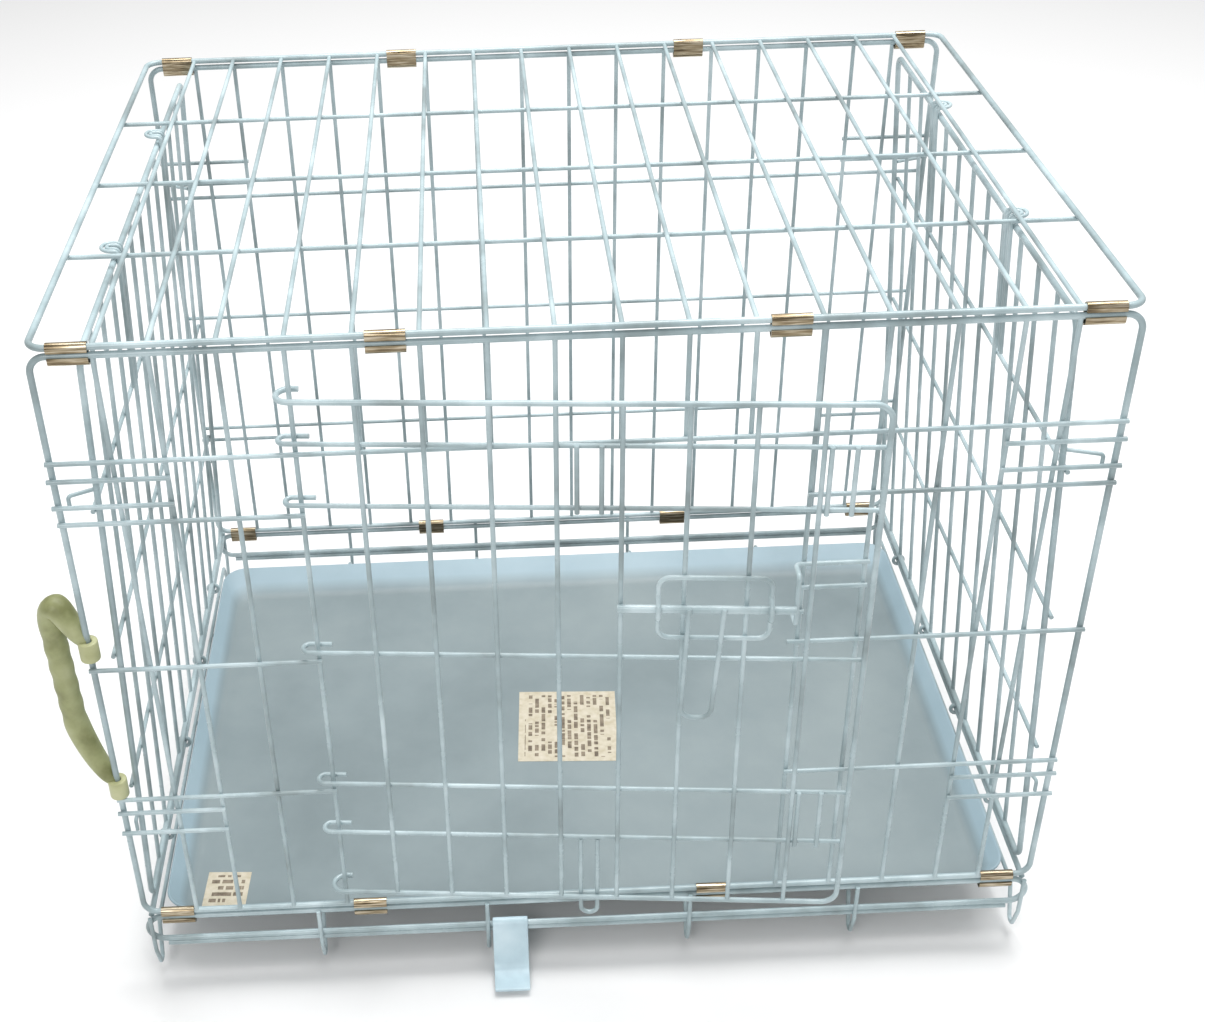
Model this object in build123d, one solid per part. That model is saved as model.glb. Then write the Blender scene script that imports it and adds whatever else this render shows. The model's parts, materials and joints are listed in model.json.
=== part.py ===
from build123d import *
import math
import os

# A folding wire dog crate with a side door, standing on its feet.
# Millimetres. X runs along the length, +Y to the back, +Z up; the origin is on the
# floor under the middle of the crate. The door is in the long front side.

# ---- driving dimensions ----
LENGTH = 612.0            # between the edge wires, along X
DEPTH = 460.0             # front panel to back panel
RIM_Z = 58.0              # base rim wire above the floor
PANEL_HEIGHT = 435.0      # bottom edge wire to top edge wire of a long side
EDGE = 4.0                # edge and frame wire diameter
MESH = 3.0                # mesh wire diameter
WELD = 0.05               # how far two welded wires sink into each other
PAIR = 5.2                # between the two parallel wires at a clipped edge
CORNER = 10.0             # bend radius of a panel's corners
END_GAP = 35.5            # edge wire to the first upright
NEXT_GAP = 30.0           # first to second upright
EVEN_BAYS = 13            # evenly spaced bays between them
ROW_COUNT = 4             # rows of mesh in a panel's height
LAP_END = 1.8             # how far a lapped wire runs past the wire it is welded to
DOOR_FIRST = 4            # upright that the door hangs on
DOOR_LAST = 12            # upright on the far side of the opening
HEADER_DROP = 67.0        # top edge wire to the header wire over the door
SHORT_DROPS = (12.0, 30.0)  # corner stiffeners below the header and below the lowest row
SHORT_OUT = 3.0           # how far a stiffener sticks out past the edge wire
ROOF_ROW = 109.0          # roof long wires, either side of the middle one

FOOT_SHARES = (0.1152, 0.3056)  # inner feet either side of the middle, as shares of LENGTH
SLOT = 17.6               # open height between the rim and the base's lower wires
FOOT_RUN = 22.0           # front to back spread of a V foot
FOOT_TIP = 4.0            # bend radius at a foot's tip

DOOR_AJAR = 5.0           # degrees the door stands open
DOOR_FRAME = 3.5          # door frame wire diameter
DOOR_OVER = 35.0          # how far the door reaches past the opening
DOOR_TOP_DROP = 30.0      # top edge wire of the panel to the top of the door
DOOR_BOTTOM_RISE = 20.0   # bottom edge wire of the panel to the bottom of the door
HOOK_LIFT = 8.0           # a door wire above the panel wire it hooks on beside
HOOK_CLEAR = 1.3          # free gap between a hinge hook and its upright
HOOK_PAST = 5.0           # how far a door row's hook turns back beyond the upright
HOOK_TAIL = 8.0           # and how far its end comes back on the other side
LOW_DOOR_DROP = 43.5      # lowest row of the door to the extra wire below it
STRUT_GAP = 14.0          # between the two wires of a short pair on the door
DOOR_LOOP_WIDE = 11.0     # width of the bottom loop
DOOR_LOOP_DROP = 18.0     # how far it hangs below the door

BOLT = 5.0                # bolt rod diameter
BOLT_CLEAR = 0.35
BOLT_START = 113.0        # these run back from the far side of the opening
BOLT_END = 8.5
GUIDE_LEFT = 89.0
GUIDE_RIGHT = 23.0
PULL_LEFT = 71.0          # first leg of the bolt's pull loop
BOLT_DROP = 4.0           # below the middle of the bay between the upper two rows
GUIDE_TALL = 44.0
PULL_WIDE = 20.5
PULL_DROP = 80.0
KEEPER_GAP = 17.5         # between the two keeper wires
KEEPER_X = 5.5            # keeper bow, beside the last upright
KEEPER_TALL = 36.0

END_INSET = 3.0           # base side rim inboard of the edge wires
END_SIDE_GAP = 11.5       # long side panel to the end panel's own side wire
END_TOP_GAP = 1.0         # an end panel is this much shorter than a long side
END_BAYS = 12
END_LEANS = (2.9, 3.9)    # degrees that the left and right end panels lean in
EYE_RADIUS = 4.3          # hinge eye, to the middle of its wire
EYE_YS = (-150.0, -50.0, 50.0, 150.0)
HOOK_WIRE = 2.5
TOP_HOOK_Y = 93.0         # top hooks either side of the middle
TOP_HOOK_WIDTHS = (12.0, 5.5)  # each top hook is one hairpin inside another
TOP_HOOK_BEND = 7.6       # how far the inner hairpin bends over at its top
TOP_HOOK_STEM = 90.0      # length of the hairpins' stems
TOP_HOOK_CLEAR = 1.2      # under the roof's cross wires, where the panel swings in
SIDE_HOOK_OVER = 14.5     # side hooks: over the top row, and under the lowest one
SIDE_HOOK_UNDER = 26.0
SIDE_HOOK_TIP = 9.0       # length of the hook's turned down tip

TRAY_END_GAP = 9.5        # edge wires to the tray's lip at each end
TRAY_FRONT_GAP = 9.5      # front edge wires to the lip, which lifts past the door's hooks
TRAY_BACK_GAP = 47.0
TRAY_HEIGHT = 18.0
TRAY_WALL = 2.0
TRAY_SLOPE = 13.0         # how far the tray's end walls lean out
TRAY_FRONT_SLOPE = 4.0
TRAY_BACK_SLOPE = 24.0
TRAY_CORNER = 14.0        # plan radius at the floor
TRAY_LIP_CORNER = 20.0    # and at the lip
TRAY_GAP = 0.3

CLIP_LONG = 22.5
CLIP_WALL = 1.0
CLIP_FIT = 0.02
CLIP_MOUTH = 3.2
CLIP_LOOSE = 2.6          # how much lower than the lower wire a clip reaches
CLIP_BESIDE = 0.35        # free gap between a corner clip and the first upright
DOOR_CLIPS = (15.5, 30.5)  # bottom clips beside the hinge upright and a later one
FLOOR_LONG = 115.0        # floor's long wires, either side of the middle one
LOWER_SHORT = 12.0        # how far the lowest wire stops short of the end turn

STRAP_BESIDE = 15.5       # fold strap's middle, beside the foot left of centre
STRAP_WIDE = 25.0
STRAP_WALL = 2.6
STRAP_LEAN = 8.0          # how far the strap slopes forward down to its lip
STRAP_LIP = 22.0
STRAP_CLEAR = 0.3

HANDLE_TURN = 153.0       # degrees from +X that the carry handle points
HANDLE_GRIP = 15.0
HANDLE_ZS = (295.0, 181.0)  # collars round the left front edge wire
COLLAR_TALL = 13.0
COLLAR_RADIUS = 6.8
COLLAR_CLEAR = 0.35

LABEL_THICK = 0.2
LABEL_TURN = -3.0
LABELS = ((-2.0, -30.0, 78.0, 83.0), (-257.0, -190.5, 31.0, 34.0))  # middle x, y, and size

# ---- derived places ----
X_EDGE = LENGTH / 2
Y_EDGE = DEPTH / 2
LAP = (EDGE + MESH) / 2 - WELD
CROSS = MESH - WELD
PANEL_BOTTOM = RIM_Z + PAIR
PANEL_TOP = PANEL_BOTTOM + PANEL_HEIGHT
ROW = PANEL_HEIGHT / ROW_COUNT
PITCH = (LENGTH - 2 * (END_GAP + NEXT_GAP)) / EVEN_BAYS
UPRIGHTS = [0.0, END_GAP] + [END_GAP + NEXT_GAP + PITCH * i for i in range(EVEN_BAYS + 1)]
UPRIGHTS += [LENGTH - END_GAP, LENGTH]
UPRIGHTS = [x - X_EDGE for x in UPRIGHTS]
ROWS = [PANEL_TOP - ROW * i for i in range(1, ROW_COUNT)]
HEADER = PANEL_TOP - HEADER_DROP
SHORTS = [HEADER - d for d in SHORT_DROPS] + [ROWS[-1] - d for d in SHORT_DROPS]
ROOF_Z = PANEL_TOP + PAIR
LOWER_TOP = RIM_Z - EDGE / 2 - SLOT - EDGE / 2
LOWER_BOTTOM = LOWER_TOP - EDGE - WELD
X_HINGE = UPRIGHTS[DOOR_FIRST]
X_SHUT = UPRIGHTS[DOOR_LAST]
MESH_Y = LAP - CROSS      # uprights' plane outside the panel's edge wires
HINGE_Y = -Y_EDGE - MESH_Y
X_SIDE = X_EDGE - END_INSET
END_SPAN = DEPTH - 2 * END_SIDE_GAP
END_TALL = PANEL_HEIGHT - END_TOP_GAP
ROW_Y = -Y_EDGE - LAP     # rows' plane outside the panel's edge wires
FAR = X_EDGE + LAP_END
FOOT_XS = [LENGTH * share for share in FOOT_SHARES] + [X_SIDE]
BOLT_Z = (ROWS[0] + ROWS[1]) / 2 - BOLT_DROP
# front to back through the door: its rows, its uprights, the bolt, and the guide over it
DOOR_ROW_Y = HINGE_Y - MESH - HOOK_CLEAR
DOOR_MESH_Y = DOOR_ROW_Y - CROSS
BOLT_Y = DOOR_MESH_Y - (MESH + BOLT) / 2 - BOLT_CLEAR
GUIDE_Y = BOLT_Y - (BOLT + MESH) / 2 - BOLT_CLEAR


# ---- wires ----
def bar(start, end, size):
    """One straight round wire."""
    start, end = Vector(start), Vector(end)
    run = end - start
    return extrude(Plane(origin=start, z_dir=run) * Circle(size / 2), run.length)


def elbow(point, before, after, radius, size):
    """A round bend at a corner, with where it starts and ends."""
    turn = math.radians(before.get_angle(after))
    reach = radius * math.tan(turn / 2)
    first = point - before * reach
    normal = before.cross(after).normalized()
    middle = first + normal.cross(before) * radius
    section = Plane(origin=first, z_dir=before) * Circle(size / 2)
    bend = revolve(section, Axis(middle, normal), revolution_arc=math.degrees(turn))
    return bend, first, point + after * reach


def bent(points, radii, size, closed=False):
    """A bent wire as straight runs and round bends that meet face to face."""
    points = [Vector(p) for p in points]
    count = len(points)
    if not isinstance(radii, (list, tuple)):
        radii = [radii] * count
    corners = range(count) if closed else range(1, count - 1)
    bends = {}
    for i in corners:
        before = (points[i] - points[i - 1]).normalized()
        after = (points[(i + 1) % count] - points[i]).normalized()
        bends[i] = elbow(points[i], before, after, radii[i], size)
    solids = [made[0] for made in bends.values()]
    for i in range(count if closed else count - 1):
        j = (i + 1) % count
        start = bends[i][2] if i in bends else points[i]
        end = bends[j][1] if j in bends else points[j]
        if (end - start).length > 0.01:
            solids.append(bar(start, end, size))
    return solids


def butt(wires, edges):
    """Wires whose ends are shaped to sit against the round edge wires they meet."""
    out = []
    for wire in wires:
        for edge in edges:
            wire = wire - edge
        out += wire.solids()
    return out


def flat(shapes):
    """Every solid of a nest of shapes, as one list."""
    solids = []
    for shape in shapes:
        solids += shape.solids() if not isinstance(shape, (list, tuple)) else flat(shape)
    return solids


nodes = {}


def node(name, shapes):
    nodes[name] = flat(shapes)


# ---- long side panels ----
def side_frame(y):
    corners = [(-X_EDGE, y, PANEL_BOTTOM), (-X_EDGE, y, PANEL_TOP)]
    corners += [(X_EDGE, y, PANEL_TOP), (X_EDGE, y, PANEL_BOTTOM)]
    return bent(corners, CORNER, EDGE, closed=True)


def side_uprights(y, edge_y, spans):
    """The uprights between the top and bottom edge wires; spans gives each its lowest height."""
    top = bar((-X_EDGE, edge_y, PANEL_TOP), (X_EDGE, edge_y, PANEL_TOP), EDGE)
    bottom = bar((-X_EDGE, edge_y, PANEL_BOTTOM), (X_EDGE, edge_y, PANEL_BOTTOM), EDGE)
    wires = [bar((x, y, low), (x, y, PANEL_TOP), MESH) for x, low in spans]
    return butt(wires, (top, bottom))


def row_wires(y, z, x_from, x_to):
    return bar((x_from, y, z), (x_to, y, z), MESH)


def corner_shorts(y):
    out = []
    for z in SHORTS:
        out.append(row_wires(y, z, -X_EDGE - SHORT_OUT, UPRIGHTS[2] + LAP_END))
        out.append(row_wires(y, z, UPRIGHTS[-3] - LAP_END, X_EDGE + SHORT_OUT))
    return out


node("front_frame", side_frame(-Y_EDGE))
opening = range(DOOR_FIRST + 1, DOOR_LAST)
full = [(x, PANEL_BOTTOM) for i, x in enumerate(UPRIGHTS) if 0 < i < len(UPRIGHTS) - 1 and i not in opening]
header_spans = [(UPRIGHTS[i], HEADER - LAP_END) for i in opening]
node("front_uprights", side_uprights(HINGE_Y, -Y_EDGE, full))
node("front_header_uprights", side_uprights(HINGE_Y, -Y_EDGE, header_spans))
node("front_header_wire", [row_wires(ROW_Y, HEADER, -FAR, FAR)])
node("front_left_rows", [row_wires(ROW_Y, z, -FAR, X_HINGE + LAP_END) for z in ROWS])
keeper_bow_x = X_SHUT - KEEPER_X
rows_right = [row_wires(ROW_Y, z, X_SHUT - LAP_END, FAR) for z in (ROWS[0], ROWS[2])]
rows_right.append(row_wires(ROW_Y, ROWS[1], keeper_bow_x - MESH / 2, FAR))
node("front_right_rows", rows_right)
node("front_corner_shorts", corner_shorts(ROW_Y))

node("back_frame", side_frame(Y_EDGE))
inner = [(x, PANEL_BOTTOM) for x in UPRIGHTS[1:-1]]
node("back_uprights", side_uprights(-HINGE_Y, Y_EDGE, inner))
node("back_rows", [row_wires(-ROW_Y, z, -FAR, FAR) for z in ROWS])
node("back_corner_shorts", corner_shorts(-ROW_Y))

# ---- roof ----
roof_corners = [(-X_EDGE, -Y_EDGE, ROOF_Z), (-X_EDGE, Y_EDGE, ROOF_Z)]
roof_corners += [(X_EDGE, Y_EDGE, ROOF_Z), (X_EDGE, -Y_EDGE, ROOF_Z)]
node("roof_frame", bent(roof_corners, CORNER, EDGE, closed=True))
roof_cross_z = ROOF_Z - LAP + CROSS
roof_edges = [bar((-X_EDGE, y, ROOF_Z), (X_EDGE, y, ROOF_Z), EDGE) for y in (-Y_EDGE, Y_EDGE)]
roof_cross = [bar((x, -Y_EDGE, roof_cross_z), (x, Y_EDGE, roof_cross_z), MESH) for x in UPRIGHTS[1:-1]]
node("roof_cross_wires", butt(roof_cross, roof_edges))
roof_long_z = ROOF_Z - LAP
roof_long = [bar((-FAR, y, roof_long_z), (FAR, y, roof_long_z), MESH) for y in (-ROOF_ROW, 0, ROOF_ROW)]
node("roof_long_wires", roof_long)

# ---- base ----
def rim_end(side):
    """The rim and the lower wire are one wire, which turns over at each end of the base."""
    turn = (RIM_Z - LOWER_TOP) / 2
    x = side * X_EDGE
    out = []
    for y in (-Y_EDGE, Y_EDGE):
        top, low = (x, y, RIM_Z), (x, y, LOWER_TOP)
        half = [(x - side * 1.5 * turn, y, RIM_Z), top, low, (x - side * 1.5 * turn, y, LOWER_TOP)]
        out += bent(half, turn - 0.01, EDGE)
    return out


turn_x = X_EDGE - 1.5 * (RIM_Z - LOWER_TOP) / 2
rim = [bar((-turn_x, y, RIM_Z), (turn_x, y, RIM_Z), EDGE) for y in (-Y_EDGE, Y_EDGE)]
lower = [bar((-turn_x, y, LOWER_TOP), (turn_x, y, LOWER_TOP), EDGE) for y in (-Y_EDGE, Y_EDGE)]
node("base_rims", [rim, lower, rim_end(-1), rim_end(1)])
low_end = X_EDGE - LOWER_SHORT
node("base_lower_wires",
     [bar((-low_end, y, LOWER_BOTTOM), (low_end, y, LOWER_BOTTOM), EDGE) for y in (-Y_EDGE, Y_EDGE)])

# the side rims carry the end panels; they rest on the front and back rims
side_rim_y = Y_EDGE - EDGE / 2
side_rims = [bar((x, -side_rim_y, RIM_Z), (x, side_rim_y, RIM_Z), EDGE) for x in (-X_SIDE, X_SIDE)]
node("base_side_rims", butt(side_rims, rim + flat(rim_end(-1)) + flat(rim_end(1))))

FLOOR_WIRE_Z = RIM_Z - EDGE / 2 - SLOT - MESH / 2 - 1.0
FOOT_FRONT = -Y_EDGE - (EDGE + MESH) / 2 + WELD


def foot_wire(x):
    """One floor wire: up the outside of the front rims, down to a V foot, and across to the back."""
    tip = MESH / 2
    side = [(x, FOOT_FRONT, RIM_Z + LAP_END), (x, FOOT_FRONT, LOWER_BOTTOM - EDGE)]
    side += [(x, FOOT_FRONT + FOOT_RUN * 0.4, tip), (x, FOOT_FRONT + FOOT_RUN, FLOOR_WIRE_Z)]
    back = [(p[0], -p[1], p[2]) for p in reversed(side)]
    return bent(side + back, [0, 12.0, FOOT_TIP, 5.0, 5.0, FOOT_TIP, 12.0, 0], MESH)


foot_columns = [s * x for x in FOOT_XS for s in (-1, 1)]
node("floor_wires", [foot_wire(x) for x in sorted(foot_columns)])
long_floor_z = FLOOR_WIRE_Z - CROSS
floor_reach = FOOT_XS[-1] + LAP_END
floor_long = [bar((-floor_reach, y, long_floor_z), (floor_reach, y, long_floor_z), MESH)
              for y in (-FLOOR_LONG, 0, FLOOR_LONG)]
node("floor_long_wires", floor_long)


# ---- clips ----
def clip(x, y, z, mouth):
    """A sheet clip rolled round the two parallel edge wires, open towards the inside."""
    inner = EDGE / 2 + CLIP_FIT
    outer = inner + CLIP_WALL
    middle = z + (PAIR - CLIP_LOOSE) / 2
    plane = Plane(origin=(x - CLIP_LONG / 2, y, middle), x_dir=(0, 0, 1), z_dir=(1, 0, 0))
    span = PAIR + CLIP_LOOSE
    skin = SlotCenterToCenter(span, 2 * outer) - SlotCenterToCenter(span, 2 * inner)
    gap = Pos(0, -mouth * outer) * Rectangle(CLIP_MOUTH, 2 * outer)
    return extrude(plane * (skin - gap), CLIP_LONG)


def clip_row(y, z, xs):
    inward = 1 if y > 0 else -1
    return [clip(x, y, z, inward) for x in xs]


first_mid = UPRIGHTS[1] - MESH / 2 - CLIP_LONG / 2 - CLIP_BESIDE
inner_mid = (UPRIGHTS[5] + UPRIGHTS[6]) / 2
clip_xs = (first_mid, inner_mid, -inner_mid, -first_mid)
door_clip_xs = (first_mid, X_HINGE + DOOR_CLIPS[0], UPRIGHTS[10] + DOOR_CLIPS[1], -first_mid)
node("clips_front_top", clip_row(-Y_EDGE, PANEL_TOP, clip_xs))
node("clips_back_top", clip_row(Y_EDGE, PANEL_TOP, clip_xs))
node("clips_front_bottom", clip_row(-Y_EDGE, RIM_Z, door_clip_xs))
node("clips_back_bottom", clip_row(Y_EDGE, RIM_Z, clip_xs))

# ---- latch keeper on the front panel ----
keeper_zs = (BOLT_Z + KEEPER_GAP / 2, BOLT_Z - KEEPER_GAP / 2)
keeper_to = UPRIGHTS[DOOR_LAST + 1] + LAP_END
bow_low = keeper_zs[0] - KEEPER_TALL
bow = [(keeper_to, ROW_Y, keeper_zs[0]), (keeper_bow_x, ROW_Y, keeper_zs[0])]
bow += [(keeper_bow_x, GUIDE_Y, keeper_zs[0]), (keeper_bow_x, GUIDE_Y, bow_low)]
bow += [(keeper_bow_x, ROW_Y, bow_low), (X_SHUT + LAP_END, ROW_Y, bow_low)]
node("keeper_bow", bent(bow, 3.2, MESH))
node("keeper_wire", [row_wires(ROW_Y, keeper_zs[1], X_SHUT - LAP_END, keeper_to)])

# ---- door, made shut and then swung to where it stands ----
AXIS_DOOR = Axis((X_HINGE, HINGE_Y, 0), (0, 0, 1))


def on_door(shapes):
    return [s.rotate(AXIS_DOOR, -DOOR_AJAR) for s in flat(shapes)]


def door_hook(z, run_y, size, past, tail):
    """A wire end that turns back round the hinge upright, past it by so much, and ends in a tail."""
    radius = HINGE_Y - run_y
    turn_x, back_y = X_HINGE - past - radius, HINGE_Y + radius
    path = [(X_HINGE, run_y, z), (turn_x, run_y, z), (turn_x, back_y, z), (X_HINGE + tail, back_y, z)]
    return bent(path, radius - 0.01, size)


def strut(x, z_high, z_low, size=MESH):
    return bar((x, DOOR_MESH_Y, z_low), (x, DOOR_MESH_Y, z_high), size)


door_right = X_SHUT + DOOR_OVER
door_top = PANEL_TOP - DOOR_TOP_DROP
door_bottom = PANEL_BOTTOM + DOOR_BOTTOM_RISE
door_rows = [HEADER + HOOK_LIFT] + [z + HOOK_LIFT for z in ROWS]
door_rows.append(door_rows[-1] - LOW_DOOR_DROP)
frame_y = DOOR_ROW_Y - (DOOR_FRAME + MESH) / 2 + WELD
frame_path = [(X_HINGE, frame_y, door_top), (door_right, frame_y, door_top)]
frame_path += [(door_right, frame_y, door_bottom), (X_HINGE, frame_y, door_bottom)]
door_frame = bent(frame_path, CORNER, DOOR_FRAME)
door_frame += flat([door_hook(z, frame_y, DOOR_FRAME, 0.02, HOOK_TAIL / 2) for z in (door_top, door_bottom)])
node("door_frame", on_door(door_frame))
rows = [row_wires(DOOR_ROW_Y, z, X_HINGE, door_right + LAP_END) for z in door_rows]
node("door_rows", on_door(rows))
node("door_hinge_hooks", on_door([door_hook(z, DOOR_ROW_Y, MESH, HOOK_PAST, HOOK_TAIL) for z in door_rows]))
door_mesh_xs = [X_HINGE + PITCH * i for i in range(1, 9)]
door_edges = [bar((X_HINGE, frame_y, z), (door_right, frame_y, z), DOOR_FRAME)
              for z in (door_top, door_bottom)]
node("door_uprights", on_door(butt([strut(x, door_top, door_bottom) for x in door_mesh_xs], door_edges)))
pair_mid = X_HINGE + PITCH * 4.5
pair_xs = (pair_mid - STRUT_GAP / 2, pair_mid + STRUT_GAP / 2)
middle_struts = [strut(x, door_rows[0] + LAP_END, door_rows[1] - LAP_END) for x in pair_xs]
node("door_middle_struts", on_door(middle_struts))
loop_y = frame_y + (DOOR_FRAME + MESH) / 2 - WELD
loop_top, loop_low = door_rows[-1] - MESH / 2, door_bottom - DOOR_LOOP_DROP
loop_xs = (pair_mid - DOOR_LOOP_WIDE / 2, pair_mid + DOOR_LOOP_WIDE / 2)
loop_path = [(loop_xs[0], loop_y, loop_top), (loop_xs[0], loop_y, loop_low)]
loop_path += [(loop_xs[1], loop_y, loop_low), (loop_xs[1], loop_y, loop_top)]
node("door_bottom_loop", on_door(bent(loop_path, DOOR_LOOP_WIDE / 2 - 0.1, MESH)))
right_xs = (X_SHUT + STRUT_GAP * 0.3, X_SHUT + STRUT_GAP * 1.3)
right_struts = [strut(x, door_rows[0] + LAP_END, door_rows[1] - LAP_END) for x in right_xs]
right_struts += [strut(x, door_rows[3] + LAP_END, door_rows[4] - LAP_END) for x in right_xs]
node("door_right_struts", on_door(right_struts))

# ---- bolt, its guide and its pull ----
guide_y = DOOR_MESH_Y - CROSS
guide_top, guide_low = BOLT_Z + GUIDE_TALL / 2, BOLT_Z - GUIDE_TALL / 2


def guide_side(x):
    """One side of the guide, which bulges forward over the bolt."""
    near, far = BOLT / 2 + 6.5, BOLT / 2 + 1.5
    out = [(x, guide_y, BOLT_Z + near), (x, GUIDE_Y, BOLT_Z + far)]
    return out + [(x, GUIDE_Y, BOLT_Z - far), (x, guide_y, BOLT_Z - near)]


x_left, x_right = X_SHUT - GUIDE_LEFT, X_SHUT - GUIDE_RIGHT
guide_path = [(x_left, guide_y, guide_top)] + guide_side(x_left) + [(x_left, guide_y, guide_low)]
guide_path += [(x_right, guide_y, guide_low)] + guide_side(x_right)[::-1] + [(x_right, guide_y, guide_top)]
guide_radii = [7.0, 2.0, 2.0, 2.0, 2.0, 7.0] * 2
node("bolt_guide", on_door(bent(guide_path, guide_radii, MESH, closed=True)))
bolt_rod = bar((X_SHUT - BOLT_START, BOLT_Y, BOLT_Z), (X_SHUT - BOLT_END, BOLT_Y, BOLT_Z), BOLT)
node("bolt_rod", on_door([bolt_rod]))
pull_y = BOLT_Y - (BOLT + MESH) / 2 + WELD
pull_xs = (X_SHUT - PULL_LEFT, X_SHUT - PULL_LEFT + PULL_WIDE)
pull = [(pull_xs[0], pull_y, BOLT_Z + 3.0), (pull_xs[0] - 3.0, pull_y, BOLT_Z - PULL_DROP)]
pull += [(pull_xs[1] - 5.0, pull_y, BOLT_Z - PULL_DROP), (pull_xs[1], pull_y, BOLT_Z + 3.0)]
node("bolt_pull", on_door(bent(pull, PULL_WIDE * 0.38, MESH)))

# ---- end panels, made upright on their hinge line and then leaned in ----
def end_axis(side):
    return Axis((side * X_SIDE, 0, RIM_Z), (0, 1, 0))


def lean(side):
    return END_LEANS[0] if side < 0 else END_LEANS[1]


def leaned(shapes, side):
    return [s.rotate(end_axis(side), -side * lean(side)) for s in flat(shapes)]


def top_hook(side, y, width, bend):
    """A hairpin on the inside of an end panel, bent over outwards at its top."""
    stem_x = side * (X_SIDE - (EDGE + HOOK_WIRE) / 2 + WELD)
    tip_x = stem_x + side * bend
    high = roof_cross_z - (MESH + HOOK_WIRE) / 2 - TOP_HOOK_CLEAR
    low = RIM_Z + END_TALL + EDGE / 2 - TOP_HOOK_STEM
    path = [(stem_x, y - width / 2, low), (stem_x, y - width / 2, high), (tip_x, y - width / 2, high)]
    path += [(p[0], 2 * y - p[1], p[2]) for p in reversed(path)]
    turn = (width - 0.1) / 2
    return bent(path, [0, 2.6, turn, turn, 2.6, 0], HOOK_WIRE)


def end_panel(side):
    """The pieces of one end panel: side is -1 at the left and 1 at the right."""
    x0 = side * X_SIDE
    low = RIM_Z + EYE_RADIUS + (MESH + EDGE) / 2 - WELD
    top = RIM_Z + END_TALL
    half = END_SPAN / 2
    corners = [(x0, -half, low), (x0, -half, top), (x0, half, top), (x0, half, low)]
    frame = bent(corners, CORNER, EDGE, closed=True)
    mesh_x = x0 + side * (LAP - CROSS)
    row_x = x0 + side * LAP
    ends = [bar((x0, -half, z), (x0, half, z), EDGE) for z in (low, top)]
    pitch = END_SPAN / END_BAYS
    uprights = [bar((mesh_x, -half + pitch * i, low), (mesh_x, -half + pitch * i, top), MESH)
                for i in range(1, END_BAYS)]
    reach = half + LAP_END
    rows = [bar((row_x, -reach, z), (row_x, reach, z), MESH) for z in ROWS]
    eyes = [Pos(x0, y, RIM_Z) * (Rot(90, 0, 0) * Torus(EYE_RADIUS, MESH / 2)) for y in EYE_YS]
    outer, inner = TOP_HOOK_WIDTHS
    hooks = [top_hook(side, y, width, TOP_HOOK_BEND + (width - inner) / 2)
             for y in (-TOP_HOOK_Y, TOP_HOOK_Y) for width in (outer, inner)]
    prefix = "left_end" if side < 0 else "right_end"
    node(prefix + "_frame", leaned(frame, side))
    node(prefix + "_uprights", leaned(butt(uprights, ends), side))
    node(prefix + "_rows", leaned(rows, side))
    node(prefix + "_hinge_eyes", leaned(eyes, side))
    node(prefix + "_top_hooks", leaned(hooks, side))
    # side hooks run level from the leaning frame to the inside of each corner
    clips = []
    for z in (ROWS[0] + SIDE_HOOK_OVER, ROWS[-1] - SIDE_HOOK_UNDER):
        lean_x = (z - RIM_Z) * math.tan(math.radians(lean(side)))
        root = x0 - side * (lean_x - EDGE / 2 + WELD)
        tip = side * (X_EDGE - 5.0)
        inner_y = Y_EDGE - MESH - HOOK_WIRE / 2 - 0.6
        for y in (-1, 1):
            path = [(root, y * half, z), (tip, y * inner_y, z), (tip, y * inner_y, z - SIDE_HOOK_TIP)]
            clips += bent(path, 2.2, HOOK_WIRE)
    node(prefix + "_side_hooks", butt(clips, leaned(frame, side)[4:]))


end_panel(-1)
end_panel(1)

# ---- tray ----
TRAY_Z = FLOOR_WIRE_Z + MESH / 2 + TRAY_GAP


def tray_section(inset, z):
    """The tray's outline at one height, drawn in by inset all round."""
    rise = (z - TRAY_Z) / TRAY_HEIGHT
    half = X_EDGE - TRAY_END_GAP - TRAY_SLOPE * (1 - rise) - inset
    front = -Y_EDGE + TRAY_FRONT_GAP + TRAY_FRONT_SLOPE * (1 - rise) + inset
    back = Y_EDGE - TRAY_BACK_GAP - TRAY_BACK_SLOPE * (1 - rise) - inset
    radius = TRAY_CORNER + (TRAY_LIP_CORNER - TRAY_CORNER) * rise - inset
    return Plane(origin=(0, (front + back) / 2, z)) * RectangleRounded(2 * half, back - front, radius)


tray_top = TRAY_Z + TRAY_HEIGHT
wall_run = TRAY_WALL * math.hypot(TRAY_SLOPE, TRAY_HEIGHT) / TRAY_HEIGHT
tray = loft([tray_section(0, TRAY_Z), tray_section(0, tray_top)])
tray -= loft([tray_section(wall_run, TRAY_Z + TRAY_WALL), tray_section(wall_run, tray_top + 0.001)])
node("tray", [tray])
label_z = TRAY_Z + TRAY_WALL
labels = [Pos(x, y, label_z + LABEL_THICK / 2) * (Rot(0, 0, LABEL_TURN) * Box(long, deep, LABEL_THICK))
          for x, y, long, deep in LABELS]
node("tray_labels", labels)

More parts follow.
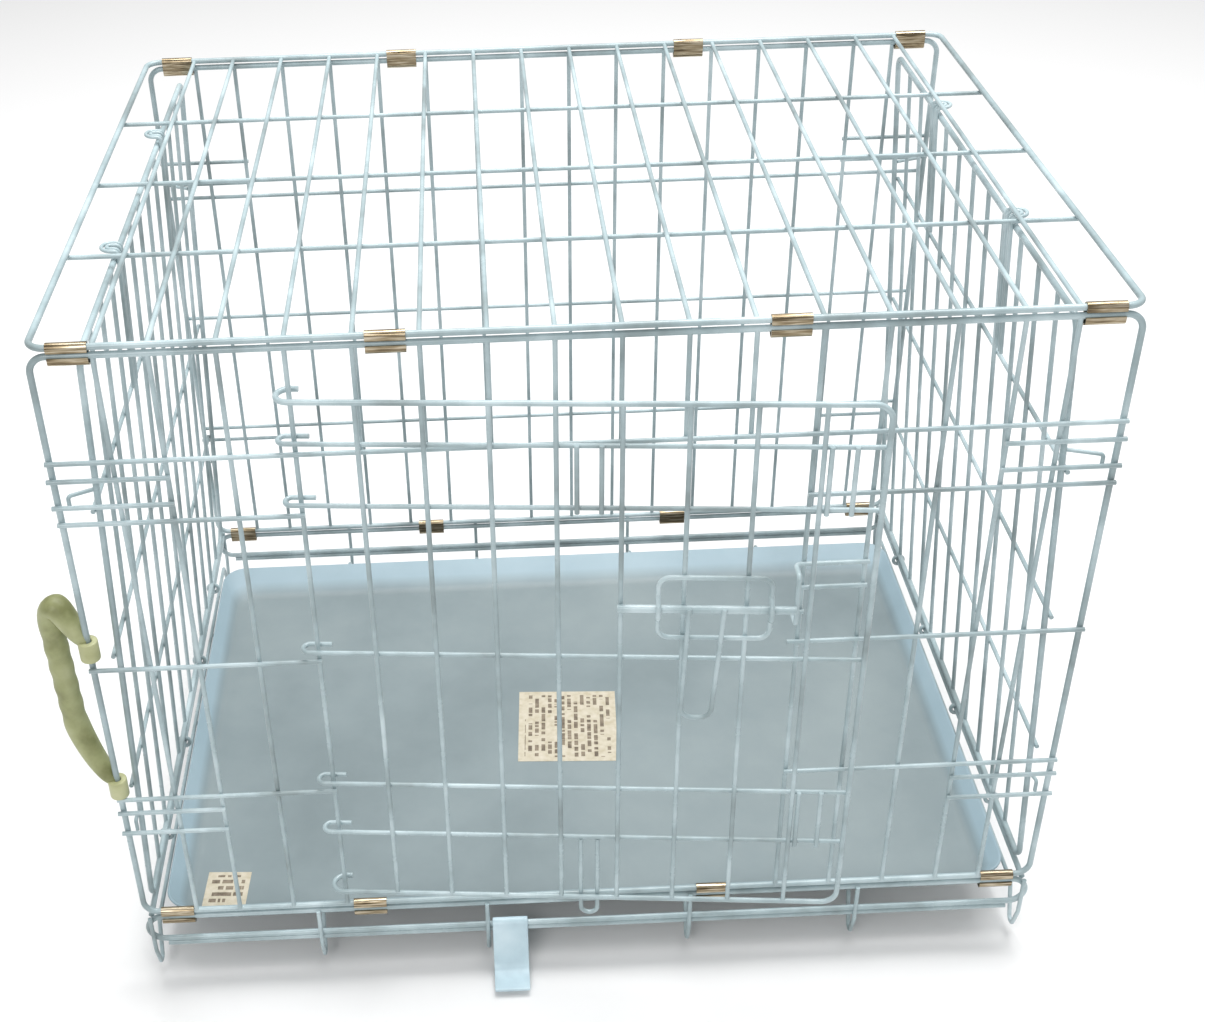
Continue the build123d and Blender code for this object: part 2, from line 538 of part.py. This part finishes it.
# ---- fold strap ----
def strap():
    """A moulded strap snapped round the lower front wires, with a finger lip."""
    ring_in = EDGE / 2 + STRAP_CLEAR
    ring_out = ring_in + STRAP_WALL
    wide = 2 * ring_out
    x0 = STRAP_BESIDE - FOOT_XS[0] - STRAP_WIDE / 2
    plane = Plane(origin=(x0, -Y_EDGE, LOWER_TOP), x_dir=(0, 1, 0), z_dir=(1, 0, 0))
    # the hook is open from below to the back, so that it turns clear of the wire underneath
    ring = Circle(ring_out) - Circle(ring_in) - Pos(0, -wide) * Rectangle(2 * wide, 2 * wide)
    back = Polyline((0, 0), (wide, 0), (wide, wide), (1.25 * ring_out, wide), close=True)
    ring -= make_face(back)
    lip_z = STRAP_WALL - LOWER_TOP
    foot_y = -ring_out - STRAP_LEAN
    tip_y = foot_y - STRAP_LIP
    outline = [(-ring_out, 0), (foot_y, lip_z + STRAP_WALL), (tip_y, lip_z + STRAP_WALL)]
    outline += [(tip_y, lip_z), (foot_y + STRAP_WALL * 0.7, lip_z), (-ring_in, 0)]
    return extrude(plane * (ring + make_face(Polyline(*outline, close=True))), STRAP_WIDE)


node("fold_strap", [strap()])

# ---- carry handle ----
def carry_handle():
    """A moulded C handle with two snap collars on the left front edge wire."""
    high, low = HANDLE_ZS
    path = [(2.0, high), (22.0, high + 30.0), (27.5, high - 5.0)]
    path += [(27.5, low + 44.0), (20.0, low + 20.0), (2.0, low)]
    points = [(r, 0, z) for r, z in path]
    line = FilletPolyline(*points, radius=[9.0, 9.0, 14.0, 14.0])
    start = Plane(origin=line @ 0, z_dir=line % 0)
    grip = sweep(start * Circle(HANDLE_GRIP / 2), path=line)
    collars = [Pos(0, 0, z) * Cylinder(COLLAR_RADIUS, COLLAR_TALL) for z in HANDLE_ZS]
    body = grip + collars[0] + collars[1]
    body -= Pos(0, 0, (high + low) / 2) * Cylinder(EDGE / 2 + COLLAR_CLEAR, high - low + 80)
    body = Pos(-X_EDGE, -Y_EDGE, 0) * (Rot(0, 0, HANDLE_TURN) * body)
    return body


node("carry_handle", [carry_handle()])

os.makedirs("parts", exist_ok=True)
for name, solids in nodes.items():
    export_step(Compound(solids), f"parts/{name}.step")
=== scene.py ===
# %% [markdown]
# # A folding wire dog crate
#
# The crate's shape comes from its CAD model, which is packed as a fixed frame. This lesson gives
# the crate its looks: finishes for the coated wire, the plated clips and the moulded plastic, and
# new pieces where the real thing is softer or finer than a plain solid.

# %% Load the frame and keep its box
import json
import math
import bpy
from mathutils import Matrix, Vector


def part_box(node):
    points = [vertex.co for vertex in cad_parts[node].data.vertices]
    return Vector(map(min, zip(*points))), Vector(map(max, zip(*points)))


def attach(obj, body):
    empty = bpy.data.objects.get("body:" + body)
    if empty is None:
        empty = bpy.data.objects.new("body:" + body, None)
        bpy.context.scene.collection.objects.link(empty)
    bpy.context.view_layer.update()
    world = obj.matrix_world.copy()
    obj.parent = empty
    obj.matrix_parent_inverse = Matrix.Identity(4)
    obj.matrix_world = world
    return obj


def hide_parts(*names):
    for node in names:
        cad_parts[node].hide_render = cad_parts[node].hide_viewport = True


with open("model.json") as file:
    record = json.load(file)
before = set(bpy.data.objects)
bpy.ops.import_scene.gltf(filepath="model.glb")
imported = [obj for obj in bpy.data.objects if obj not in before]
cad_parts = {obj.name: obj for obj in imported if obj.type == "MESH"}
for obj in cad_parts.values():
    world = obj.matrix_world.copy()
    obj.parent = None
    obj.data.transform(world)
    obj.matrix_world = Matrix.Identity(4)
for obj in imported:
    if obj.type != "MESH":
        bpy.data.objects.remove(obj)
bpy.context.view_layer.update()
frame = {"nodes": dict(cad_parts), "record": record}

# %% [markdown]
# Colours are written as a painter's hex values. The renderer works in linear light, so one
# function turns them, and one more adds a shader node with its settings and its links.

# %% Colour and node helpers
MM = 0.001


def linear(hex_colour):
    """An sRGB hex colour as the linear RGBA that a shader socket takes."""
    parts = [int(hex_colour[i:i + 2], 16) / 255 for i in (1, 3, 5)]
    parts = [c / 12.92 if c <= 0.04045 else ((c + 0.055) / 1.055) ** 2.4 for c in parts]
    return (*parts, 1.0)


def add_node(tree, kind, links=None, values=None, **settings):
    """Adds a node, sets its properties and socket values, and links its inputs from other sockets."""
    node = tree.nodes.new(kind)
    for key, value in settings.items():
        setattr(node, key, value)
    for key, value in (values or {}).items():
        node.inputs[key].default_value = value
    for key, socket in (links or {}).items():
        tree.links.new(socket, node.inputs[key])
    return node


def new_material(name):
    """A material whose tree holds only the output and a Principled shader."""
    material = bpy.data.materials.new(name)
    material.use_nodes = True
    tree = material.node_tree
    tree.nodes.clear()
    output = tree.nodes.new("ShaderNodeOutputMaterial")
    shader = tree.nodes.new("ShaderNodeBsdfPrincipled")
    tree.links.new(shader.outputs["BSDF"], output.inputs["Surface"])
    return material, tree, shader


def ramp(tree, factor, stops):
    """A colour ramp between hex colours at the given places."""
    node = add_node(tree, "ShaderNodeValToRGB", {"Fac": factor})
    elements = node.color_ramp.elements
    while len(elements) < len(stops):
        elements.new(0.5)
    for element, (place, colour) in zip(elements, stops):
        element.position = place
        element.color = linear(colour)
    return node


# %% [markdown]
# ## Coated wire
# The wires are drawn steel under a baked pale blue-grey epoxy coat. The coat is a dielectric with
# a soft gloss; it is a little uneven, and years of use leave it greyer in patches. Two noises do
# that: a wide one for the grime, and a fine one for the orange peel of the baked powder.

# %% Coated wire material
wire_coat, tree, shader = new_material("epoxy_coated_steel_wire")
place = add_node(tree, "ShaderNodeTexCoord").outputs["Object"]
patches = add_node(tree, "ShaderNodeTexNoise", {"Vector": place},
                   {"Scale": 18.0, "Detail": 4.0, "Roughness": 0.6})
tint = ramp(tree, patches.outputs["Fac"], [(0.32, "#829092"), (0.5, "#9EB0B4"), (0.7, "#BECED2")])
tree.links.new(tint.outputs["Color"], shader.inputs["Base Color"])
# orange peel of about 0.8 mm
peel = add_node(tree, "ShaderNodeTexNoise", {"Vector": place}, {"Scale": 1300.0, "Detail": 2.0})
bump = add_node(tree, "ShaderNodeBump", {"Height": peel.outputs["Fac"]},
                {"Strength": 0.12, "Distance": 0.2 * MM})
tree.links.new(bump.outputs["Normal"], shader.inputs["Normal"])
gloss = add_node(tree, "ShaderNodeMapRange", {"Value": patches.outputs["Fac"]},
                 {"To Min": 0.36, "To Max": 0.2})
tree.links.new(gloss.outputs["Result"], shader.inputs["Roughness"])
shader.inputs["IOR"].default_value = 1.55
print("wire coat made with", len(tree.nodes), "nodes")

# %% [markdown]
# ## Plated clips
# The clips are rolled from thin steel sheet with a yellow passivated zinc plating. The plating is
# a metal; its base colour is painted in streaks from dark brown to cream, a painted reflection of dark
# surroundings with painted highlights, and the same streaks leave it rubbed dull in places.

# %% Plated clip material
clip_plating, tree, shader = new_material("yellow_zinc_plated_sheet")
place = add_node(tree, "ShaderNodeTexCoord").outputs["Object"]
stretch = add_node(tree, "ShaderNodeMapping", {"Vector": place}, {"Scale": (60.0, 900.0, 900.0)})
reflection_and_rubbing_streaks = add_node(tree, "ShaderNodeTexNoise", {"Vector": stretch.outputs["Vector"]},
                   {"Scale": 1.0, "Detail": 3.0})
# painted reflection: dark brown to cream streaks in the base colour stand in for the plating's reflections
# and highlights
tint = ramp(tree, reflection_and_rubbing_streaks.outputs["Fac"], [(0.3, "#554A3B"), (0.48, "#93846A"), (0.72, "#D2C7B2")])
tree.links.new(tint.outputs["Color"], shader.inputs["Base Color"])
shader.inputs["Metallic"].default_value = 1.0
gloss = add_node(tree, "ShaderNodeMapRange", {"Value": reflection_and_rubbing_streaks.outputs["Fac"]},
                 {"To Min": 0.22, "To Max": 0.42})
tree.links.new(gloss.outputs["Result"], shader.inputs["Roughness"])
print("clip plating made with", len(tree.nodes), "nodes")

# %% [markdown]
# ## Tray plastic
# The tray is moulded polypropylene, blue-grey and satin. Its floor is painted greyer and darker than its
# walls as painted shade, and the walls are painted lighter as if lit, so a ramp on the height blends a shaded
# and a lit tint. Over that lie wide, faint stains, and fine scuffs from paws and cleaning.

# %% Tray material
tray_plastic, tree, shader = new_material("moulded_polypropylene_tray")
place = add_node(tree, "ShaderNodeTexCoord").outputs["Object"]
stains = add_node(tree, "ShaderNodeTexNoise", {"Vector": place},
                  {"Scale": 7.0, "Detail": 5.0, "Roughness": 0.55})
# painted shade and painted light: a darker floor tint and a lighter wall tint, blended by height; the noise
# in each gives real stains
shaded_floor_tint = ramp(tree, stains.outputs["Fac"], [(0.3, "#727F82"), (0.5, "#7E8B8E"), (0.72, "#899597")])
lit_wall_tint = ramp(tree, stains.outputs["Fac"], [(0.3, "#889DA6"), (0.5, "#95ABB5"), (0.72, "#9FB4BD")])
height = add_node(tree, "ShaderNodeSeparateXYZ", {"Vector": place})
TRAY_WALL = 2.0 * MM
tray_low, tray_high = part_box("tray")
wall = add_node(tree, "ShaderNodeMapRange", {"Value": height.outputs["Z"]},
                {"From Min": tray_low.z + TRAY_WALL + 0.5 * MM, "From Max": tray_high.z - 8 * MM})
# inputs 0, 6 and 7 of a colour mix are its factor and its two colours
tint = add_node(tree, "ShaderNodeMix",
                {0: wall.outputs["Result"], 6: shaded_floor_tint.outputs["Color"], 7: lit_wall_tint.outputs["Color"]},
                data_type="RGBA")
tree.links.new(tint.outputs[2], shader.inputs["Base Color"])
scuffs = add_node(tree, "ShaderNodeTexNoise", {"Vector": place},
                  {"Scale": 160.0, "Detail": 6.0, "Roughness": 0.7})
gloss = add_node(tree, "ShaderNodeMapRange", {"Value": scuffs.outputs["Fac"]},
                 {"To Min": 0.38, "To Max": 0.62})
tree.links.new(gloss.outputs["Result"], shader.inputs["Roughness"])
bump = add_node(tree, "ShaderNodeBump", {"Height": scuffs.outputs["Fac"]},
                {"Strength": 0.08, "Distance": 0.4 * MM})
tree.links.new(bump.outputs["Normal"], shader.inputs["Normal"])
shader.inputs["IOR"].default_value = 1.49
print("tray plastic made with", len(tree.nodes), "nodes")

# %% Handle and strap materials
def soft_plastic(name, stops, grain, rough):
    """Moulded plastic in a few close shades, with a fine moulded grain."""
    material, tree, shader = new_material(name)
    place = add_node(tree, "ShaderNodeTexCoord").outputs["Object"]
    shades = add_node(tree, "ShaderNodeTexNoise", {"Vector": place}, {"Scale": 45.0, "Detail": 4.0})
    tint = ramp(tree, shades.outputs["Fac"], stops)
    tree.links.new(tint.outputs["Color"], shader.inputs["Base Color"])
    skin = add_node(tree, "ShaderNodeTexNoise", {"Vector": place}, {"Scale": grain, "Detail": 2.0})
    bump = add_node(tree, "ShaderNodeBump", {"Height": skin.outputs["Fac"]},
                    {"Strength": 0.15, "Distance": 0.3 * MM})
    tree.links.new(bump.outputs["Normal"], shader.inputs["Normal"])
    gloss = add_node(tree, "ShaderNodeMapRange", {"Value": shades.outputs["Fac"]},
                     {"To Min": rough + 0.08, "To Max": rough - 0.06})
    tree.links.new(gloss.outputs["Result"], shader.inputs["Roughness"])
    shader.inputs["IOR"].default_value = 1.5
    return material


handle_plastic = soft_plastic(
    "olive_moulded_handle", [(0.32, "#74774B"), (0.5, "#93976A"), (0.7, "#AAAD83")], 900.0, 0.45)
collar_plastic = soft_plastic(
    "pale_olive_moulded_collar", [(0.3, "#A3A577"), (0.5, "#B3B58A"), (0.75, "#C2C39E")], 900.0, 0.4)
strap_plastic = soft_plastic(
    "light_blue_moulded_strap", [(0.3, "#B0C6D0"), (0.5, "#BED4DD"), (0.75, "#CCDFE7")], 700.0, 0.35)
print("handle, collar and strap plastics made")

# %% [markdown]
# ## Printed stickers
# Two paper stickers lie on the tray's floor. Their print is only grey-brown lines broken into
# words, with no letters: stripes across the sticker make the lines, and a noise that changes from
# line to line breaks them up. A margin all round stays clean.

# %% Sticker material
def printed_lines(tree, place, middle, turn, half, pitch):
    """A mask of broken printed lines on one sticker, in the sticker's own turned coordinates."""
    own = add_node(tree, "ShaderNodeMapping", {"Vector": place},
                   {"Location": (*middle, 0.0), "Rotation": (0.0, 0.0, math.radians(turn))},
                   vector_type="TEXTURE")
    axes = add_node(tree, "ShaderNodeSeparateXYZ", {"Vector": own.outputs["Vector"]})
    across = add_node(tree, "ShaderNodeMath", {0: axes.outputs["X"]}, {1: 1 / pitch}, operation="MULTIPLY")
    line = add_node(tree, "ShaderNodeMath", {0: across.outputs[0]}, operation="FLOOR")
    within = add_node(tree, "ShaderNodeMath", {0: across.outputs[0]}, operation="FRACT")
    mask = add_node(tree, "ShaderNodeMath", {0: within.outputs[0]}, {1: 0.58}, operation="LESS_THAN")
    # words of about 3 mm, and paragraphs of about 20 mm, each with the share left blank
    for length, share in ((3.0 * MM, 0.43), (20.0 * MM, 0.44)):
        along = add_node(tree, "ShaderNodeMath", {0: axes.outputs["Y"]}, {1: 1 / length},
                         operation="MULTIPLY")
        spot = add_node(tree, "ShaderNodeCombineXYZ", {"X": along.outputs[0], "Y": line.outputs[0]})
        noise = add_node(tree, "ShaderNodeTexNoise", {"Vector": spot.outputs["Vector"]},
                         {"Scale": 0.93, "Detail": 0.0})
        inked = add_node(tree, "ShaderNodeMath", {0: noise.outputs["Fac"]}, {1: share},
                         operation="GREATER_THAN")
        mask = add_node(tree, "ShaderNodeMath", {0: mask.outputs[0], 1: inked.outputs[0]},
                        operation="MULTIPLY")
    for axis, limit in zip("XY", half):
        off = add_node(tree, "ShaderNodeMath", {0: axes.outputs[axis]}, operation="ABSOLUTE")
        inside = add_node(tree, "ShaderNodeMath", {0: off.outputs[0]}, {1: limit}, operation="LESS_THAN")
        mask = add_node(tree, "ShaderNodeMath", {0: mask.outputs[0], 1: inside.outputs[0]},
                        operation="MULTIPLY")
    return mask.outputs[0]


sticker_paper, tree, shader = new_material("printed_paper_sticker")
place = add_node(tree, "ShaderNodeTexCoord").outputs["Object"]
large = printed_lines(tree, place, (-2 * MM, -30 * MM), -3.0, (34 * MM, 37 * MM), 5.2 * MM)
small = printed_lines(tree, place, (-257 * MM, -190.5 * MM), 87.0, (14 * MM, 12 * MM), 6.0 * MM)
ink = add_node(tree, "ShaderNodeMath", {0: large, 1: small}, operation="MAXIMUM")
fibre = add_node(tree, "ShaderNodeTexNoise", {"Vector": place}, {"Scale": 220.0, "Detail": 3.0})
paper_tint = ramp(tree, fibre.outputs["Fac"], [(0.3, "#B4AA93"), (0.5, "#BFB7A3"), (0.75, "#C8C0B0")])
ink_tint = ramp(tree, fibre.outputs["Fac"], [(0.35, "#5E5346"), (0.6, "#857967")])
tint = add_node(tree, "ShaderNodeMix",
                {0: ink.outputs[0], 6: paper_tint.outputs["Color"], 7: ink_tint.outputs["Color"]},
                data_type="RGBA")
tree.links.new(tint.outputs[2], shader.inputs["Base Color"])
shader.inputs["Roughness"].default_value = 0.65
shader.inputs["IOR"].default_value = 1.5
print("stickers made with", len(tree.nodes), "nodes")

# %% Give every CAD node its finish
finishes = {"wire": wire_coat, "clip": clip_plating, "tray": tray_plastic, "handle": handle_plastic,
            "strap": strap_plastic, "label": sticker_paper}
slots = {part["node"]: part["material_slot"] for part in frame["record"]["subparts"]}
for node_name, piece in frame["nodes"].items():
    piece.data.materials.clear()
    piece.data.materials.append(finishes[slots[node_name]])
print("finished", len(slots), "nodes")

# %% [markdown]
# ## The tray, thin and rounded
# The real tray is one sheet of plastic drawn over a mould, so its floor runs into its walls in a
# soft bend, and its rim is rounded. A plane is bevelled at its four corners, pushed down to the
# floor's size, softened at the bend, and only then given its thickness, which grows inwards.

# %% Start a new piece
def start_piece(name, add, **how):
    """Adds a primitive with nothing else selected, names it and opens it in edit mode."""
    bpy.ops.object.select_all(action="DESELECT")
    add(**how)
    piece = bpy.context.object
    piece.name = name
    bpy.ops.object.transform_apply(location=True, rotation=True, scale=True)
    bpy.ops.object.mode_set(mode="EDIT")
    return piece


def edge_rounding(width, segments, sharper_than):
    """A bevel on the edges that turn by more than the given degrees, for finish_piece."""
    limit = {"limit_method": "ANGLE", "angle_limit": math.radians(sharper_than)}
    return ("BEVEL", {"width": width, "segments": segments, **limit})


def finish_piece(piece, modifiers, body, node_name, material, angle=40.0):
    """Leaves edit mode, applies modifiers in turn, shades the piece and gives it to its body."""
    bpy.ops.object.mode_set(mode="OBJECT")
    for kind, settings in modifiers:
        modifier = piece.modifiers.new(kind.lower(), kind)
        for key, value in settings.items():
            setattr(modifier, key, value)
        bpy.ops.object.modifier_apply(modifier=modifier.name)
    bpy.ops.object.shade_smooth_by_angle(angle=math.radians(angle))
    piece.data.materials.clear()
    piece.data.materials.append(material)
    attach(piece, body)
    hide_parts(node_name)
    print(piece.name, "has", len(piece.data.polygons), "faces")


# %% Tray piece
# how far the end, front and back walls lean out
ends, front, back = 13.0 * MM, 4.0 * MM, 24.0 * MM
LIP_CORNER = 20 * MM
FLOOR_BEND = 5 * MM
lip_size = Vector((tray_high.x - tray_low.x, tray_high.y - tray_low.y))
floor_size = Vector((lip_size.x - 2 * ends, lip_size.y - front - back))
# the thickness is set square to the sloping walls, so it lifts the rim's inner edge a little
rim_lift = 1.7 * MM
lip_middle = Vector(((tray_low.x + tray_high.x) / 2, (tray_low.y + tray_high.y) / 2, tray_high.z - rim_lift))
tray = start_piece("moulded_tray", bpy.ops.mesh.primitive_plane_add, size=1.0, location=lip_middle)
bpy.ops.transform.resize(value=(lip_size.x, lip_size.y, 1.0), center_override=lip_middle)
bpy.ops.mesh.bevel(offset=LIP_CORNER, segments=8, affect="VERTICES")
bpy.ops.mesh.select_all(action="SELECT")
shift = Vector((0.0, (front - back) / 2, tray_low.z - lip_middle.z))
bpy.ops.mesh.extrude_region_move(TRANSFORM_OT_translate={"value": shift})
floor_middle = Vector((lip_middle.x, lip_middle.y + shift.y, tray_low.z))
bpy.ops.transform.resize(value=(floor_size.x / lip_size.x, floor_size.y / lip_size.y, 1.0),
                         center_override=floor_middle)
bpy.ops.mesh.bevel(offset=FLOOR_BEND, segments=4, affect="EDGES")
# an extruded plane is closed at the top, so the face that lies at the lip is taken out
bpy.ops.mesh.select_all(action="DESELECT")
bpy.ops.object.mode_set(mode="OBJECT")
for face in tray.data.polygons:
    face.select = face.center.z > lip_middle.z - 0.1 * MM
bpy.ops.object.mode_set(mode="EDIT")
bpy.ops.mesh.delete(type="FACE")
bpy.ops.mesh.select_all(action="SELECT")
bpy.ops.mesh.normals_make_consistent(inside=False)
finish_piece(tray, [("SOLIDIFY", {"thickness": TRAY_WALL, "offset": -1.0}),
                    edge_rounding(0.8 * MM, 3, 50)],
             "tray", "tray", tray_plastic)

# %% [markdown]
# ## The fold strap
# The strap is a flexible plastic strip: it wraps over the lower wire, slopes down, and ends in a
# finger lip that turns forward. One edge of a narrow strip is extruded step by step along that
# line, then the strip gets its thickness, rounded edges and a smoothing subdivision.

# %% Strap piece
strap_low, strap_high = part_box("fold_strap")
# the lower wire's middle, and the strap's middle line where it wraps over the wire
wire_y, wire_z = -230.0 * MM, 36.4 * MM
hug = 3.6 * MM
strip = start_piece("fold_strap_moulding", bpy.ops.mesh.primitive_plane_add, size=1.0)
wide = strap_high.x - strap_low.x - 0.4 * MM
angles = [math.radians(degrees) for degrees in range(62, 181, 20)]
line = [(wire_y + hug * math.cos(angle), wire_z + hug * math.sin(angle)) for angle in angles]
line += [(wire_y - 5.2 * MM, 29.5 * MM), (wire_y - 7.6 * MM, 20.0 * MM), (wire_y - 10.6 * MM, 10.5 * MM)]
line += [(wire_y - 13.4 * MM, 6.0 * MM), (wire_y - 18.5 * MM, 4.3 * MM), (wire_y - 26.0 * MM, 4.1 * MM)]
line += [(wire_y - 33.4 * MM, 4.9 * MM)]
bpy.ops.mesh.delete(type="ONLY_FACE")
bpy.ops.mesh.select_all(action="SELECT")
bpy.ops.mesh.merge(type="CENTER")
middle_x = (strap_low.x + strap_high.x) / 2
bpy.ops.transform.translate(value=(middle_x - wide / 2, *line[0]))
bpy.ops.mesh.extrude_vertices_move(TRANSFORM_OT_translate={"value": (wide, 0.0, 0.0)})
bpy.ops.mesh.select_all(action="SELECT")
for (y0, z0), (y1, z1) in zip(line, line[1:]):
    bpy.ops.mesh.extrude_edges_move(TRANSFORM_OT_translate={"value": (0.0, y1 - y0, z1 - z0)})
bpy.ops.mesh.select_all(action="SELECT")
bpy.ops.mesh.normals_make_consistent(inside=False)
# the front has a shallow recessed panel, which leaves a raised border
bpy.ops.mesh.select_all(action="DESELECT")
bpy.ops.object.mode_set(mode="OBJECT")
for face in strip.data.polygons:
    face.select = 9 * MM < face.center.z < 34 * MM
bpy.ops.object.mode_set(mode="EDIT")
bpy.ops.mesh.inset(thickness=3.2 * MM, depth=0.0)
bpy.ops.transform.translate(value=(0.0, 0.9 * MM, 0.0))
finish_piece(strip, [("SOLIDIFY", {"thickness": 2.4 * MM, "offset": 0.0}),
                     edge_rounding(0.7 * MM, 2, 60),
                     ("SUBSURF", {"levels": 1, "render_levels": 1})],
             "fold_strap", "fold_strap", strap_plastic)

# %% [markdown]
# ## The carry handle
# The handle is a soft moulded grip with shallow finger grooves, and it ends in two collars that
# snap round the corner's edge wire. It is modelled in a plane that stands on the wire: a disc is
# extruded from the upper collar to the lower one, turned and scaled a little at each step. At the
# end the whole grip is turned to point off the corner.

# %% Handle grip
# each step: out from the wire and up from the floor, the grip's radius, and the way it points
grip_steps = [(1.5, 298.0, 5.4, 90), (9.0, 309.0, 7.0, 60), (16.0, 320.0, 8.4, 45), (20.5, 323.5, 8.9, 0),
              (25.4, 318.0, 8.8, -62), (26.0, 303.0, 8.5, -90)]
grooves = [(26.2 - 0.5 * (i // 2), 296.0 - 7.4 * i, 8.4 if i % 2 else 6.7, -92) for i in range(10)]
grip_steps += grooves
grip_steps += [(21.5, 219.0, 8.0, -112), (15.5, 204.0, 7.4, -120), (8.5, 192.5, 6.4, -126),
               (1.5, 184.0, 5.0, -100)]
first = grip_steps[0]
grip = start_piece("handle_grip", bpy.ops.mesh.primitive_circle_add, vertices=20, radius=first[2] * MM,
                   fill_type="NGON", location=(first[0] * MM, 0.0, first[1] * MM))
before = first
for step in grip_steps[1:]:
    here = Vector((step[0] * MM, 0.0, step[1] * MM))
    move = here - Vector((before[0] * MM, 0.0, before[1] * MM))
    bpy.ops.mesh.extrude_region_move(TRANSFORM_OT_translate={"value": move})
    bpy.ops.transform.rotate(value=math.radians(step[3] - before[3]), orient_axis="Y", center_override=here)
    bpy.ops.transform.resize(value=(step[2] / before[2],) * 3, center_override=here)
    before = step
# the left front edge wire, and the way the handle points from it, from +X towards +Y
corner = Vector((-306 * MM, -230 * MM, 0.0))
HANDLE_TURN = 153.0
bpy.ops.mesh.select_all(action="SELECT")
bpy.ops.mesh.normals_make_consistent(inside=False)


def set_on_corner(piece):
    """Turns a handle piece to point off the corner, moves it there and bakes that into its mesh."""
    bpy.ops.object.mode_set(mode="OBJECT")
    piece.matrix_world = Matrix.Translation(corner) @ Matrix.Rotation(math.radians(HANDLE_TURN), 4, "Z")
    bpy.ops.object.transform_apply(location=True, rotation=True, scale=True)


set_on_corner(grip)
finish_piece(grip, [("SUBSURF", {"levels": 2, "render_levels": 2})],
             "carry_handle", "carry_handle", handle_plastic, 180.0)

# %% Handle collars
COLLAR_RADIUS = 6.2 * MM
COLLAR_TALL = 14.0 * MM
COLLAR_WALL = 3.8 * MM
for name, height in (("handle_upper_collar", 295.0), ("handle_lower_collar", 181.0)):
    collar = start_piece(name, bpy.ops.mesh.primitive_cylinder_add, vertices=32, radius=COLLAR_RADIUS,
                         depth=COLLAR_TALL, end_fill_type="NOTHING", location=(0.0, 0.0, height * MM))
    set_on_corner(collar)
    finish_piece(collar, [("SOLIDIFY", {"thickness": COLLAR_WALL, "offset": -1.0}),
                          edge_rounding(0.9 * MM, 3, 50)],
                 "carry_handle", "carry_handle", collar_plastic)

# %% [markdown]
# ## Floor, light and camera
# A wide pale floor, a large soft light over the crate and a weaker one at the front, so that
# shadows gather only under the crate.

# %% Floor
bpy.ops.object.select_all(action="DESELECT")
bpy.ops.mesh.primitive_plane_add(size=14.0, location=(0, 0, -0.0005))
floor = bpy.context.object
floor.name = "studio_floor"
paper, tree, shader = new_material("pale_studio_paper")
shader.inputs["Base Color"].default_value = linear("#E8E8E8")
shader.inputs["Roughness"].default_value = 0.9
floor.data.materials.append(paper)

# %% Lights and world
def area_light(name, place, target, size, power):
    """A rectangular light at a place, turned to face its target."""
    data = bpy.data.lights.new(name, "AREA")
    data.shape = "RECTANGLE"
    data.size, data.size_y = size
    data.energy = power
    lamp = bpy.data.objects.new(name, data)
    bpy.context.scene.collection.objects.link(lamp)
    lamp.location = place
    lamp.rotation_euler = (Vector(target) - Vector(place)).to_track_quat("-Z", "Y").to_euler()


area_light("over_light", (0.25, 0.45, 2.7), (0, 0.1, 0.2), (2.2, 1.6), 88.0)
area_light("front_light", (-0.8, -2.3, 1.9), (0, 0, 0.25), (1.4, 0.9), 26.0)
world = bpy.data.worlds.new("studio_world")
world.use_nodes = True
world.node_tree.nodes["Background"].inputs["Color"].default_value = linear("#FFFFFF")
world.node_tree.nodes["Background"].inputs["Strength"].default_value = 0.5
bpy.context.scene.world = world
bpy.context.scene.view_settings.view_transform = "Standard"

# %% Camera
camera_data = bpy.data.cameras.new("camera")
camera = bpy.data.objects.new("camera", camera_data)
bpy.context.scene.collection.objects.link(camera)
ELEVATION, HEADING, ROLL = 34.1, 0.99, -1.80
camera_data.sensor_width = 36.0
camera_data.lens = 49.7
camera_data.shift_x = 0.0765
camera_data.shift_y = 0.0
camera.location = (-0.0597, -1.0341, 0.9290)
turn = Matrix.Rotation(math.radians(-HEADING), 4, "Z") @ Matrix.Rotation(math.radians(90 - ELEVATION), 4, "X")
camera.matrix_world = Matrix.Translation(camera.location) @ turn @ Matrix.Rotation(math.radians(ROLL), 4, "Z")
bpy.context.scene.camera = camera
